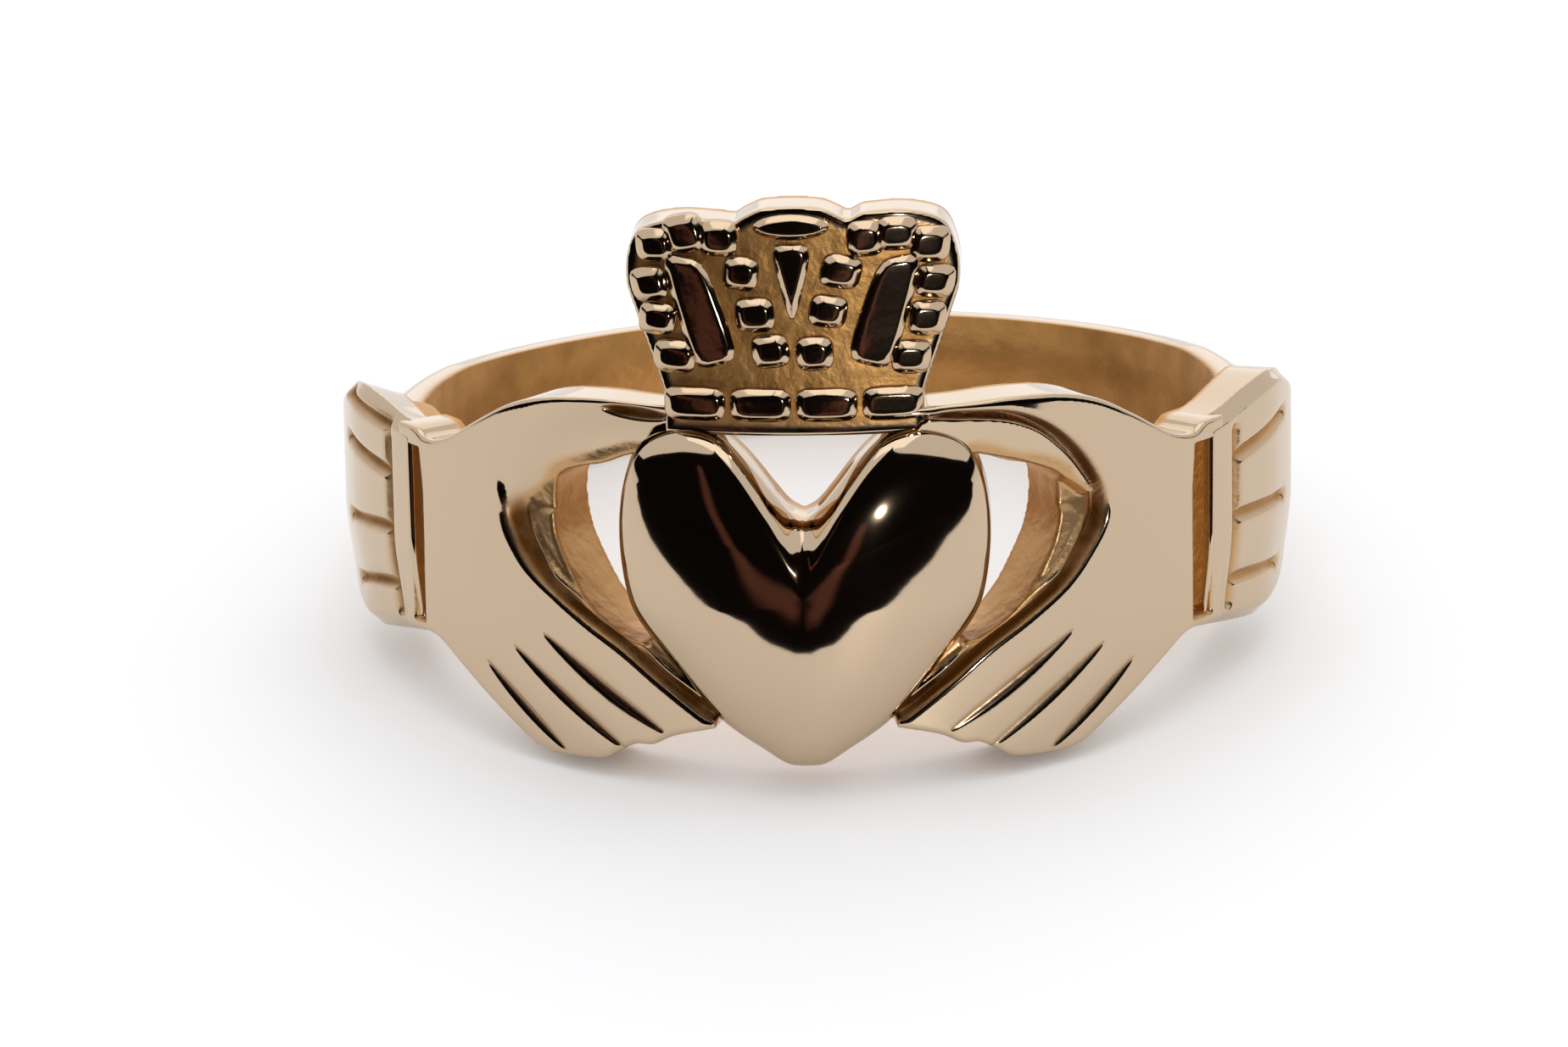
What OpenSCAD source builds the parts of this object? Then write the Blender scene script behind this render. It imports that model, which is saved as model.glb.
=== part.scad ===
// Claddagh ring: two cuffed hands hold a crowned heart, cast in one piece with a plain band.
// The finger hole's axis is upright and then leans back by the angle at which the ring lies
// on its fingertips and on the back of its band. The front, with the heart, faces -Y.
// Arc lengths run round the ring from the middle of the heart, at the mean radius of the wall.

/* [Finger hole] */
// Diameter of the finger hole
finger_d = 17.3; // [15:0.1:21]

/* [Band] */
// Thickness of the band at the middle of its height
band_wall = 1.25; // [1:0.05:1.6]
// Thickness of the band at its rounded edges
band_edge = 0.85; // [0.6:0.05:1]
// Height of the band
band_h = 2.3; // [1.8:0.1:3]

/* [Cuffs] */
// Thickness of the cuffs
cuff_wall = 1.75; // [1.6:0.05:2.2]
// Height of a cuff at its widest
cuff_h = 5.4; // [4.6:0.1:6]
// Length of a cuff round the ring
cuff_len = 5; // [4:0.1:6]
// Width of the plain rim at the wrist end
rim_w = 0.95; // [0.7:0.05:1.2]
// Width of the score lines on a cuff
score_w = 0.14; // [0.1:0.01:0.2]
// Depth of the score lines on a cuff
score_d = 0.2; // [0.1:0.01:0.25]
// Number of score lines that fan across a sleeve
scores = 4; // [2:1:6]
// Thickness that a cuff loses at its rounded edges
cuff_round = 0.35; // [0.1:0.05:0.5]

/* [Hands] */
// Arc length from the middle of the heart to the cuff
hand_reach = 9.8; // [9.2:0.1:10.6]
// Height of a hand above the middle plane of the ring
hand_up = 3.5; // [3.3:0.05:3.9]
// Depth of the little fingers below the middle plane of the ring
hand_down = 4.2; // [3.9:0.05:4.7]
// Thickness at the palms and fingers
hand_wall = 1.6; // [1.4:0.05:1.9]
// Thickness at the thumbs
thumb_wall = 1.55; // [1.4:0.05:1.9]
// Thickness at the ledge round the side holes
ledge_wall = 1.2; // [1:0.05:1.3]
// Width of the slot between a wrist and its cuff
wrist_slot = 0.4; // [0.2:0.05:0.6]
// Width of the grooves between the fingers
groove_w = 0.2; // [0.12:0.01:0.28]
// Depth of the grooves between the fingers
groove_d = 0.3; // [0.15:0.01:0.35]
// Thickness that a hand loses at its rounded edges
hand_round = 0.4; // [0.1:0.05:0.5]

/* [Heart] */
// Width of the heart
heart_w = 7.7; // [7:0.1:8.6]
// Height of the heart
heart_h = 7.05; // [6.6:0.05:7.6]
// Depth of the heart's tip below the middle plane of the ring
heart_drop = 4.05; // [3.8:0.05:4.4]
// Thickness at the heart's edge
heart_wall = 1.45; // [1.3:0.05:1.8]
// Rise of the heart's dome above its edge
heart_dome = 1; // [0.5:0.05:1.4]

/* [Crown] */
// Width of the crown at its widest
crown_w = 6.9; // [6:0.1:8]
// Height of the crown
crown_h = 4.8; // [4:0.05:5.4]
// Distance by which the crown's foot lies below the top of the heart
crown_sunk = 0.1; // [0.05:0.05:0.2]
// Thickness out to the crown's sunken ground
crown_wall = 1.5; // [1.35:0.05:1.8]
// Rise of the crown's beads and bars above the ground
relief = 0.3; // [0.15:0.05:0.45]
// Distance by which the back of the crown stands clear of the finger hole
crown_clear = 0.3; // [0.25:0.05:0.45]
// Diameter of a crown bead
bead_d = 0.66; // [0.5:0.02:0.8]

/* [Hidden] */
$fn = 96;
gold = [0.80, 0.68, 0.50];

finger_r = finger_d / 2;
band_r = finger_r + band_wall;
mean_wall = 1.4;
mean_r = finger_r + mean_wall;
tall = 4 * hand_down;
core = 0.45 * finger_r;
crown_low = heart_h - heart_drop - crown_sunk;

// The angle from the front and the sideways place of an arc length s
function turn(s) = s / mean_r * 180 / PI;
function aside(s) = mean_r * sin(turn(s));

// Corner cutting: each pass takes the corners off a closed outline of points
function next(p, i) = p[(i + 1) % len(p)];
function cut_corners(p, passes) = passes == 0 ? p : cut_corners(
    [for (i = [0 : len(p) - 1]) for (t = [0.25, 0.75]) p[i] * (1 - t) + next(p, i) * t],
    passes - 1);

// The ring lies on its little fingers and on the lower edge of its band at the back
rest_share = 0.54;
rest_angle = turn(rest_share * hand_reach);
lean = atan2(hand_down - band_h / 2, band_r + (finger_r + hand_wall) * cos(rest_angle));

// Edge of a cuff: share of its length from the rim, and shares of half its height above and below
CUFF_EDGE = [
    [0, 0.80, 0.90], [0.16, 0.84, 0.94], [0.36, 0.91, 1.00], [0.56, 0.94, 1.04], [0.75, 0.88, 0.98],
    [0.88, 0.74, 0.80], [1, 0.52, 0.54]];
cuff_top = max([for (p = CUFF_EDGE) p[1]]) * cuff_h / 2;
cuff_foot = max([for (p = CUFF_EDGE) p[2]]) * cuff_h / 2;

// Outline of a hand: arc as a share of its reach, height as a share of its rise or of its drop
HAND_TOP = [
    [1.04, 0.60], [0.96, 0.60], [0.91, 0.57], [0.85, 0.61], [0.74, 0.79], [0.65, 0.92],
    [0.56, 0.99], [0.45, 1.01], [0.34, 1.00], [0.20, 0.98], [0.18, 0.90]];
HAND_FOOT = [
    [0.20, 0.72], [0.19, 0.80], [0.28, 0.85], [0.33, 0.905], [0.37, 0.91], [0.41, 0.96],
    [0.45, 1.005], [0.55, 1.01], [0.61, 0.985], [0.67, 0.90], [0.75, 0.78], [0.84, 0.645],
    [0.92, 0.55], [1.04, 0.55]];

// The crease that runs from the crown over the thumb and down the forefinger, in the same shares
CREASE_TOP = [
    [0.26, 0.94], [0.34, 0.93], [0.44, 0.90], [0.52, 0.81], [0.59, 0.65], [0.64, 0.47], [0.665, 0.32]];
CREASE_FOOT = [
    [0.66, -0.14], [0.62, 0.00], [0.565, 0.14], [0.475, 0.285], [0.385, 0.415],
    [0.30, 0.57], [0.215, 0.72], [0.19, 0.76]];

// The thumb, a tapering leaf below the crease, and the open hole beside the heart
THUMB = [
    [0.24, 0.70], [0.25, 0.87], [0.34, 0.875], [0.43, 0.84], [0.50, 0.755], [0.565, 0.60],
    [0.61, 0.45], [0.635, 0.33], [0.58, 0.46], [0.50, 0.59], [0.42, 0.655], [0.34, 0.69]];
HOLE_TOP = [[0.33, 0.60], [0.46, 0.58], [0.555, 0.50], [0.575, 0.36], [0.565, 0.15]];
HOLE_FOOT = [[0.53, 0.03], [0.475, 0.21], [0.41, 0.34], [0.35, 0.385], [0.33, 0.30]];

// The three grooves between the fingers: where each starts on the palm and ends at the fingertips
GROOVES = [
    [[0.585, 0.39], [0.30, 0.83]],
    [[0.665, 0.48], [0.385, 0.94]],
    [[0.745, 0.59], [0.53, 0.98]]];

// Half of the heart from its tip to its notch, in shares of half its width and of its height
HEART = [
    [0, 0], [0.10, 0.006], [0.22, 0.046], [0.475, 0.142], [0.745, 0.312], [0.90, 0.418],
    [0.965, 0.50], [1.00, 0.64], [0.99, 0.77], [0.94, 0.88], [0.85, 0.955], [0.705, 0.995],
    [0.56, 1.00], [0.42, 0.975], [0.295, 0.915], [0.18, 0.837], [0.08, 0.772], [0, 0.745]];
// The heart's dome: share of the outline, and share of the rise there
DOME = [[1, 0], [0.97, 0.17], [0.90, 0.42], [0.78, 0.66], [0.60, 0.85], [0.38, 0.96], [0.16, 1]];

// Half of the crown from its foot to the middle of its top, in shares of half its width and of its height
CROWN = [
    [0.78, 0], [0.78, 0.10], [0.79, 0.20], [0.87, 0.37], [0.945, 0.53], [1.00, 0.66], [0.99, 0.79],
    [0.93, 0.88], [0.82, 0.925], [0.64, 0.95], [0.44, 0.945], [0.34, 0.94], [0.285, 0.965],
    [0.17, 0.993], [0, 1]];
// Beads on half of the crown, in the same shares
BEADS = [
    [0.73, 0.34], [0.815, 0.50], [0.875, 0.675], [0.82, 0.84], [0.62, 0.885], [0.43, 0.865],
    [0.30, 0.72], [0.215, 0.555], [0.14, 0.375]];
BAR = [[0.755, 0.80], [0.525, 0.77], [0.325, 0.36], [0.55, 0.30]];
DROP = [[-0.14, 0.85], [0.14, 0.85], [0.10, 0.70], [0.025, 0.49], [-0.025, 0.49], [-0.10, 0.70]];

function on_hand(p, side) = [aside(p[0] * hand_reach), p[1] * side];
function tops(list) = [for (p = list) on_hand(p, hand_up)];
function feet(list) = [for (p = list) on_hand(p, -hand_down)];
function flip(list) = [for (i = [len(list) - 1 : -1 : 0]) list[i]];
function on_crown(p) = [p[0] * crown_w / 2, crown_low + p[1] * crown_h];
function mirrored(p) = [-p[0], p[1]];

// An outline seen from straight in front of the given angle, pushed out from inside the finger hole
module facing(angle, reach = 2 * finger_r) {
    rotate([0, 0, angle]) rotate([90, 0, 0]) translate([0, 0, core])
        linear_extrude(reach) children();
}

// How a wall of revolution rounds over: share of its height, and share of the thickness lost there
ROUND = [[0, 0], [0.66, 0], [0.84, 0.2], [0.95, 0.55], [1.02, 1]];

// A round body with the given thickness of wall, which loses some of it towards its two edges
module round_body(wall, lost, up, down) {
    over = [for (p = flip(ROUND)) [finger_r + wall - p[1] * lost, p[0] * up]];
    under = [for (p = ROUND) [finger_r + wall - p[1] * lost, -p[0] * down]];
    rest = [for (i = [1 : len(under) - 1]) under[i]];
    rotate_extrude() polygon(concat([[0, -1.02 * down], [0, 1.02 * up]], over, rest));
}

// The part of such an outline that lies within a wall of the given thickness
module in_wall(angle, wall) {
    intersection() {
        facing(angle) children();
        cylinder(r = finger_r + wall, h = tall, center = true);
    }
}

// The part of such an outline that lies outside a wall of the given thickness
module off_wall(angle, wall) {
    difference() {
        facing(angle) children();
        cylinder(r = finger_r + wall, h = 2 * tall, center = true);
    }
}

module both_sides() {
    children();
    mirror([1, 0, 0]) children();
}

module band() {
    profile = [
        [core, -band_h / 2], [finger_r + 0.6 * band_edge, -band_h / 2],
        [finger_r + band_edge, -0.42 * band_h], [finger_r + (band_edge + band_wall) / 2, -0.26 * band_h],
        [band_r, -0.08 * band_h], [band_r, 0.08 * band_h],
        [finger_r + (band_edge + band_wall) / 2, 0.26 * band_h], [finger_r + band_edge, 0.42 * band_h],
        [finger_r + 0.6 * band_edge, band_h / 2], [core, band_h / 2]];
    // The band ends inside the cuffs
    end_y = -mean_r * cos(turn(hand_reach + cuff_len / 2));
    intersection() {
        rotate_extrude() polygon(profile);
        translate([-2 * band_r, end_y, -tall / 2]) cube([4 * band_r, 4 * band_r, tall]);
    }
}

module cuff_outline() {
    upper = [for (p = CUFF_EDGE) [(p[0] - 0.5) * cuff_len, p[1] * cuff_h / 2]];
    lower = [for (p = flip(CUFF_EDGE)) [(p[0] - 0.5) * cuff_len, -p[2] * cuff_h / 2]];
    polygon(concat(upper, lower));
}

// A line scored between the rim and the sleeve, and lines that fan out across the sleeve
module score_lines() {
    half = cuff_len / 2;
    start = -half + rim_w;
    translate([start, 0]) square([score_w, 0.8 * cuff_h], center = true);
    pitch = cuff_h / (scores + 0.35);
    for (i = [0 : scores - 1]) {
        z = (i - (scores - 1) / 2) * pitch;
        rise = 0.18 * z + 0.05;
        polygon([
            [start, z - score_w / 2], [half * 0.42, z + rise - score_w / 2],
            [half * 0.42, z + rise + score_w / 2], [start, z + score_w / 2]]);
    }
}

module cuff() {
    angle = turn(hand_reach + cuff_len / 2);
    difference() {
        intersection() {
            facing(angle) cuff_outline();
            round_body(cuff_wall, cuff_round, cuff_top, cuff_foot);
        }
        off_wall(angle, cuff_wall - score_d) score_lines();
    }
}

module hole_outline() {
    polygon(cut_corners(concat(tops(HOLE_TOP), feet(HOLE_FOOT)), 1));
}

// The ledge: the thinner wall of the whole hand, with the open hole beside the heart
module ledge() {
    in_wall(0, ledge_wall) difference() {
        polygon(concat(flip(tops(HAND_TOP)), flip(feet(HAND_FOOT))));
        hole_outline();
    }
}

module palm_outline() {
    slot_arc = hand_reach - wrist_slot;
    wrist = [aside(slot_arc), 0];
    upper = [for (p = tops(HAND_TOP)) if (p[0] < wrist[0] && p[0] > aside(0.25 * hand_reach)) p];
    foot = feet(HAND_FOOT);
    lower = [for (i = [1 : len(foot) - 1]) if (foot[i][0] < wrist[0]) foot[i]];
    polygon(concat(
        [[wrist[0], -0.545 * hand_down], [wrist[0], 0.59 * hand_up]], upper,
        tops(CREASE_TOP), feet(CREASE_FOOT), lower));
}

module groove(from, to) {
    a = on_hand(from, -hand_down);
    b = on_hand(to, -hand_down);
    d = (b - a) / norm(b - a);
    across = [-d[1], d[0]] * groove_w / 2;
    polygon([
        a, a + d * groove_w * 2 + across, b - d * groove_w * 2 + across, b,
        b - d * groove_w * 2 - across, a + d * groove_w * 2 - across]);
}

// The raised palm with its four fingers, and the raised thumb
module palm() {
    difference() {
        intersection() {
            facing(0) palm_outline();
            round_body(hand_wall, hand_round, hand_up, hand_down);
        }
        off_wall(0, hand_wall - groove_d) for (g = GROOVES) groove(g[0], g[1]);
    }
    in_wall(0, thumb_wall) polygon(tops(THUMB));
}

module hand() {
    ledge();
    palm();
}

// The heart is a dome over its outline, on straight sides that start inside the finger hole
module heart() {
    half = [for (p = HEART) [p[0] * heart_w / 2, p[1] * heart_h - heart_drop]];
    left = [for (i = [len(half) - 2 : -1 : 1]) mirrored(half[i])];
    rim = concat(half, left);
    count = len(rim);
    mid = [0, heart_h * 0.52 - heart_drop];
    edge_r = finger_r + heart_wall;
    function out(p, rise) = [p[0], -sqrt(pow(edge_r, 2) - pow(p[0], 2)) - rise * heart_dome, p[1]];
    back = [for (p = rim) [p[0], -core * 1.5, p[1]]];
    rings = [for (row = DOME) for (p = rim) out(mid + (p - mid) * row[0], row[1])];
    points = concat(back, rings, [out(mid, 1), [mid[0], -core * 1.5, mid[1]]]);
    top = len(points) - 2;
    rows = len(DOME);
    sides = [for (r = [0 : rows - 1]) for (i = [0 : count - 1])
        let (j = (i + 1) % count, a = r * count, b = (r + 1) * count)
        each [[a + i, a + j, b + j], [a + i, b + j, b + i]]];
    cap = [for (i = [0 : count - 1]) [rows * count + i, rows * count + (i + 1) % count, top]];
    floor_fan = [for (i = [0 : count - 1]) [(i + 1) % count, i, top + 1]];
    polyhedron(points, [for (f = concat(sides, cap, floor_fan)) [f[0], f[2], f[1]]]);
}

module crown_outline() {
    half = [for (p = CROWN) on_crown(p)];
    left = [for (i = [len(half) - 2 : -1 : 0]) mirrored(half[i])];
    polygon(concat(half, left));
}

// Beads, two leaning bars, a drop and a row of four pads stand up from the crown's ground
module crown_relief() {
    for (p = BEADS) both_sides_flat() translate(on_crown(p)) circle(d = bead_d, $fn = 24);
    both_sides_flat() polygon([for (p = BAR) on_crown(p)]);
    polygon([for (p = DROP) on_crown(p)]);
    translate(on_crown([0, 0.935])) square([0.21 * crown_w, 0.09 * crown_h], center = true);
    pad_pitch = 0.198 * crown_w;
    for (i = [0 : 3])
        translate([(i - 1.5) * pad_pitch, crown_low + 0.145 * crown_h])
            square([0.93 * pad_pitch, 0.15 * crown_h], center = true);
}

module both_sides_flat() {
    children();
    mirror([1, 0]) children();
}

module crown() {
    difference() {
        union() {
            in_wall(0, crown_wall) crown_outline();
            in_wall(0, crown_wall + relief) crown_relief();
        }
        cylinder(r = finger_r + crown_clear, h = 2 * tall, center = true);
    }
}

module ring() {
    color(gold) rotate([-lean, 0, 0]) difference() {
        union() {
            band();
            both_sides() {
                cuff();
                hand();
            }
            heart();
            crown();
        }
        cylinder(r = finger_r, h = 2 * tall, center = true, $fn = 180);
    }
}

ring();
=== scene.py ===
"""Claddagh ring in pale gold, lying on a pale floor in soft studio light.

The pieces are modelled in millimetres. Most start as a flat plate: X is the arc length round
the ring from the middle of the heart, Y is the height above the middle of the band, and Z is
the height above the finger hole's wall. The plate is then curled round the finger hole, leaned
back as the ring lies, and brought to metres, so each finished mesh is at its place in the frame.

In the names of sizes, _w is a width and _d a depth. _at is the span over which something sets
in, from where it is absent to where it is full. _stops are four places: it sets in over the
first two and ends over the last two. _dark and _rough are shares of patina with painted shade,
and of casting.
A point above upper_share of a wall belongs to its outer face.
"""

import logging
import math
from dataclasses import dataclass
from enum import Enum
from typing import Callable, Sequence

import bpy
import numpy as np
from mathutils import Matrix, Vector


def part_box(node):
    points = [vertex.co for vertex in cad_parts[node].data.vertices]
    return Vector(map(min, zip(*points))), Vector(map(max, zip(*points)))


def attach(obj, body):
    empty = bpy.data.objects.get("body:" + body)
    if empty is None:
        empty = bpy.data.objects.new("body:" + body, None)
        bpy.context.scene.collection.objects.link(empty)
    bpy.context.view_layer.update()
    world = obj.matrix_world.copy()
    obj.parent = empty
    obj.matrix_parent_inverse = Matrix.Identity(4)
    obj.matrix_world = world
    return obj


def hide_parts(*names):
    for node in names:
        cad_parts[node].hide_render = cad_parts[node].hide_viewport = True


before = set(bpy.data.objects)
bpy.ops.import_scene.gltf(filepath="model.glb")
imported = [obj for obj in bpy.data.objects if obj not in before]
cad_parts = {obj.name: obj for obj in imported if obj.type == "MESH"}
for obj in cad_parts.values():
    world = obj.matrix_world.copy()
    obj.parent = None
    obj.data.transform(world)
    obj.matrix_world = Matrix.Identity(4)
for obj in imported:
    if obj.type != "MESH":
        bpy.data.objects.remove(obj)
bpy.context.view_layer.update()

log = logging.getLogger("ring")

MM = 0.001
Span = tuple[float, float]
Table = Sequence[Span]
Stops = tuple[float, float, float, float]
Colour = tuple[float, float, float]
Place = tuple[float, float, float]
Outline = Callable[[float], np.ndarray]
Socket = bpy.types.NodeSocket
Value = float | Colour | Socket


class Side(Enum):
    """Which way round the ring a piece lies from the middle of the heart."""

    LEFT = -1
    RIGHT = 1


@dataclass(frozen=True)
class RingSizes:
    """Sizes that several pieces share, in millimetres."""

    finger_r: float = 8.65
    mean_wall: float = 1.4
    band_h: float = 2.3
    band_wall: float = 1.25
    hand_reach: float = 9.8
    hand_wall: float = 1.6
    hand_up: float = 3.5
    hand_down: float = 4.2
    rest_share: float = 0.54

    @property
    def mean_r(self) -> float:
        """Radius on which arc lengths are measured."""
        return self.finger_r + self.mean_wall

    @property
    def lean(self) -> float:
        """Works out how far the ring leans back on its fingertips and its band.

        Returns:
            The angle in radians.
        """
        rest_angle = self.rest_share * self.hand_reach / self.mean_r
        run = self.finger_r + self.band_wall + (self.finger_r + self.hand_wall) * math.cos(rest_angle)
        return math.atan2(self.hand_down - self.band_h / 2, run)


SIZES = RingSizes()
# Width of a cut line's bell, as a share of the width that the line shows
LINE_SHARE = 0.55


def smooth_line(points: Table | np.ndarray, steps: int = 8, closed: bool = False) -> np.ndarray:
    """Draws a Catmull-Rom curve through points.

    Args:
        points: The points to pass through.
        steps: Points on the curve for each stretch between two of them.
        closed: Whether the curve returns to its start.

    Returns:
        The points on the curve, one row each.
    """
    p = np.asarray(points, float)
    if closed:
        a, b, c, d = np.roll(p, 1, 0), p, np.roll(p, -1, 0), np.roll(p, -2, 0)
    else:
        ends = np.vstack([2 * p[0] - p[1], p, 2 * p[-1] - p[-2]])
        a, b, c, d = ends[:-3], ends[1:-2], ends[2:-1], ends[3:]
    t = (np.arange(steps) / steps)[None, :, None]
    a, b, c, d = (q[:, None, :] for q in (a, b, c, d))
    bent = 2 * b + (c - a) * t + (2 * a - 5 * b + 4 * c - d) * t**2
    curve = (0.5 * (bent + (3 * b - a - 3 * c + d) * t**3)).reshape(-1, 2)
    return curve if closed else np.vstack([curve, p[-1]])


def ease(value: np.ndarray) -> np.ndarray:
    """Rises smoothly from 0 to 1 as the value does."""
    v = np.clip(value, 0, 1)
    return v * v * (3 - 2 * v)


def ramp(value: np.ndarray, span: Span) -> np.ndarray:
    """Rises smoothly from 0 at the start of a span to 1 at its end, whichever is the higher."""
    return ease((value - span[0]) / (span[1] - span[0]))


def between(value: np.ndarray, stops: Stops) -> np.ndarray:
    """Rises from 0 to 1 over the first two stops and falls back over the last two."""
    return ramp(value, stops[:2]) * ramp(value, (stops[3], stops[2]))


def spindle(along: np.ndarray, tip: float = 0.02) -> np.ndarray:
    """How full a cut is that tapers to both ends, at shares of the way along it."""
    return np.sqrt(np.clip(4 * along * (1 - along), tip, 1))


def round_over(depth: np.ndarray, width: float) -> np.ndarray:
    """Share of a rounded edge's fall at a depth in from the edge: 1 at the edge, 0 past the width."""
    return 1 - np.sqrt(1 - (1 - np.clip(depth / width, 0, 1)) ** 2)


def bell(distance: np.ndarray, width: float | np.ndarray) -> np.ndarray:
    """A smooth bump of height 1 about a distance of 0."""
    return np.exp(-((distance / width) ** 2))


def at_height(flat: np.ndarray, height: float) -> np.ndarray:
    """Sets flat points at a height."""
    return np.column_stack([flat, np.full(len(flat), height)])


@dataclass
class Nearness:
    """How points lie to a line: distance, side (left is positive) and share of the way along it."""

    distance: np.ndarray
    side: np.ndarray
    along: np.ndarray


def nearness(points: np.ndarray, line: np.ndarray, closed: bool = False) -> Nearness:
    """Measures points against a line of straight stretches.

    Args:
        points: Flat points, one row each.
        line: The line's points, one row each.
        closed: Whether a last stretch joins the end to the start.

    Returns:
        The distance, the side and the share along the line of each point.
    """
    a = line if closed else line[:-1]
    b = np.roll(line, -1, 0) if closed else line[1:]
    step = b - a
    best = np.full(len(points), np.inf)
    side = np.ones(len(points))
    along = np.zeros(len(points))
    for i, (start, move) in enumerate(zip(a, step)):
        away = points - start
        t = np.clip(away @ move / max(move @ move, 1e-12), 0, 1)
        gap = np.hypot(*(away - t[:, None] * move).T)
        near = gap < best
        best[near] = gap[near]
        along[near] = (i + t[near]) / len(a)
        side[near] = np.sign(move[0] * away[near, 1] - move[1] * away[near, 0])
    return Nearness(best, side, along)


def inside(points: np.ndarray, outline: np.ndarray) -> np.ndarray:
    """Tells which flat points lie within a closed outline.

    Args:
        points: Flat points, one row each.
        outline: The outline's corners, one row each.

    Returns:
        True for each point within.
    """
    x, y = points.T
    result = np.zeros(len(points), bool)
    for (x0, y0), (x1, y1) in zip(outline, np.roll(outline, -1, 0)):
        if y0 == y1:
            continue
        crosses = ((y0 > y) != (y1 > y)) & (x < (x1 - x0) * (y - y0) / (y1 - y0) + x0)
        result ^= crosses
    return result


def depth_within(points: np.ndarray, outline: np.ndarray) -> np.ndarray:
    """Distance of points from a closed outline, positive within it."""
    near = nearness(points, outline, closed=True)
    return np.where(inside(points, outline), near.distance, -near.distance)


def select_only(piece: bpy.types.Object) -> None:
    """Selects one object and makes it the active one.

    Args:
        piece: The object.
    """
    bpy.ops.object.select_all(action="DESELECT")
    piece.select_set(True)
    bpy.context.view_layer.objects.active = piece


def apply_modifier(piece: bpy.types.Object, kind: str, **settings: object) -> None:
    """Adds a modifier to an object and applies it.

    Args:
        piece: The object.
        kind: The modifier's type.
        **settings: The modifier's settings by name.
    """
    select_only(piece)
    modifier = piece.modifiers.new(kind.lower(), kind)
    for name, value in settings.items():
        setattr(modifier, name, value)
    bpy.ops.object.modifier_apply(modifier=modifier.name)


def corners(piece: bpy.types.Object) -> np.ndarray:
    """Reads the places of a mesh's points.

    Args:
        piece: The object whose mesh is read.

    Returns:
        The places, one row each.
    """
    co = np.empty(len(piece.data.vertices) * 3)
    piece.data.vertices.foreach_get("co", co)
    return co.reshape(-1, 3)


def put_corners(piece: bpy.types.Object, co: np.ndarray) -> None:
    """Moves a mesh's points to new places."""
    piece.data.vertices.foreach_set("co", np.ascontiguousarray(co, float).ravel())
    piece.data.update()


def flat_plate(name: str, outline: np.ndarray, low: float, high: float) -> bpy.types.Object:
    """Adds a filled circle, draws its corners out to an outline and pulls the face up to a plate.

    Args:
        name: The new object's name.
        outline: The plate's corners, anticlockwise seen from above.
        low: Height of the plate's underside.
        high: Height of the plate's upper face.

    Returns:
        The plate.
    """
    bpy.ops.object.select_all(action="DESELECT")
    bpy.ops.mesh.primitive_circle_add(vertices=len(outline), radius=1, fill_type="NGON")
    plate = bpy.context.object
    plate.name = name
    put_corners(plate, at_height(outline, low))
    bpy.ops.object.mode_set(mode="EDIT")
    bpy.ops.mesh.select_all(action="SELECT")
    bpy.ops.mesh.extrude_region_move(TRANSFORM_OT_translate={"value": (0, 0, high - low)})
    bpy.ops.mesh.select_all(action="SELECT")
    bpy.ops.mesh.normals_make_consistent(inside=False)
    bpy.ops.object.mode_set(mode="OBJECT")
    return plate


def cut_away(piece: bpy.types.Object, cutter: bpy.types.Object) -> None:
    """Cuts one object's shape out of another and removes the cutter."""
    apply_modifier(piece, "BOOLEAN", object=cutter, operation="DIFFERENCE", solver="EXACT")
    bpy.data.objects.remove(cutter)


def even_mesh(piece: bpy.types.Object, size: float, smoothing: int = 4) -> None:
    """Covers a solid with small even faces and softens its edges as casting does.

    Args:
        piece: The solid.
        size: Size of the new faces.
        smoothing: Number of smoothing passes.
    """
    apply_modifier(piece, "REMESH", mode="VOXEL", voxel_size=size, adaptivity=0)
    apply_modifier(piece, "SMOOTH", factor=0.5, iterations=smoothing)


def mark(piece: bpy.types.Object, name: str, values: np.ndarray) -> None:
    """Stores a value from 0 to 1 on each point of a mesh, for its finish to read."""
    attribute = piece.data.attributes.get(name) or piece.data.attributes.new(name, "FLOAT", "POINT")
    attribute.data.foreach_set("value", np.clip(values, 0, 1).astype(np.float32))


def curl(flat: np.ndarray, side: Side) -> np.ndarray:
    """Curls flat points round the finger hole.

    Args:
        flat: Arc length, height above the middle plane and height above the hole's wall.
        side: The way that the arc length runs.

    Returns:
        The points in the ring's frame.
    """
    angle = side.value * flat[:, 0] / SIZES.mean_r
    r = SIZES.finger_r + flat[:, 2]
    return np.column_stack([r * np.sin(angle), -r * np.cos(angle), flat[:, 1]])


def drape(flat: np.ndarray) -> np.ndarray:
    """Lays flat points on the finger hole's curve straight from the front, keeping their X."""
    r = SIZES.finger_r + flat[:, 2]
    return np.column_stack([flat[:, 0], -np.sqrt(r**2 - flat[:, 0] ** 2), flat[:, 1]])


def settle(piece: bpy.types.Object, flipped: bool = False) -> bpy.types.Object:
    """Leans a finished piece back as the ring lies, brings it to metres and lets it ride on the ring.

    Args:
        piece: The piece, in millimetres in the ring's frame.
        flipped: Whether a mirror turned its faces inside out.

    Returns:
        The piece.
    """
    co = corners(piece)
    c, s = math.cos(SIZES.lean), math.sin(SIZES.lean)
    x, y, z = co.T
    put_corners(piece, np.column_stack([x, y * c + z * s, z * c - y * s]) * MM)
    if flipped:
        piece.data.flip_normals()
    select_only(piece)
    bpy.ops.object.shade_smooth()
    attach(piece, "root")
    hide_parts("ring")
    log.info("%s: %d faces", piece.name, len(piece.data.polygons))
    return piece


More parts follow.
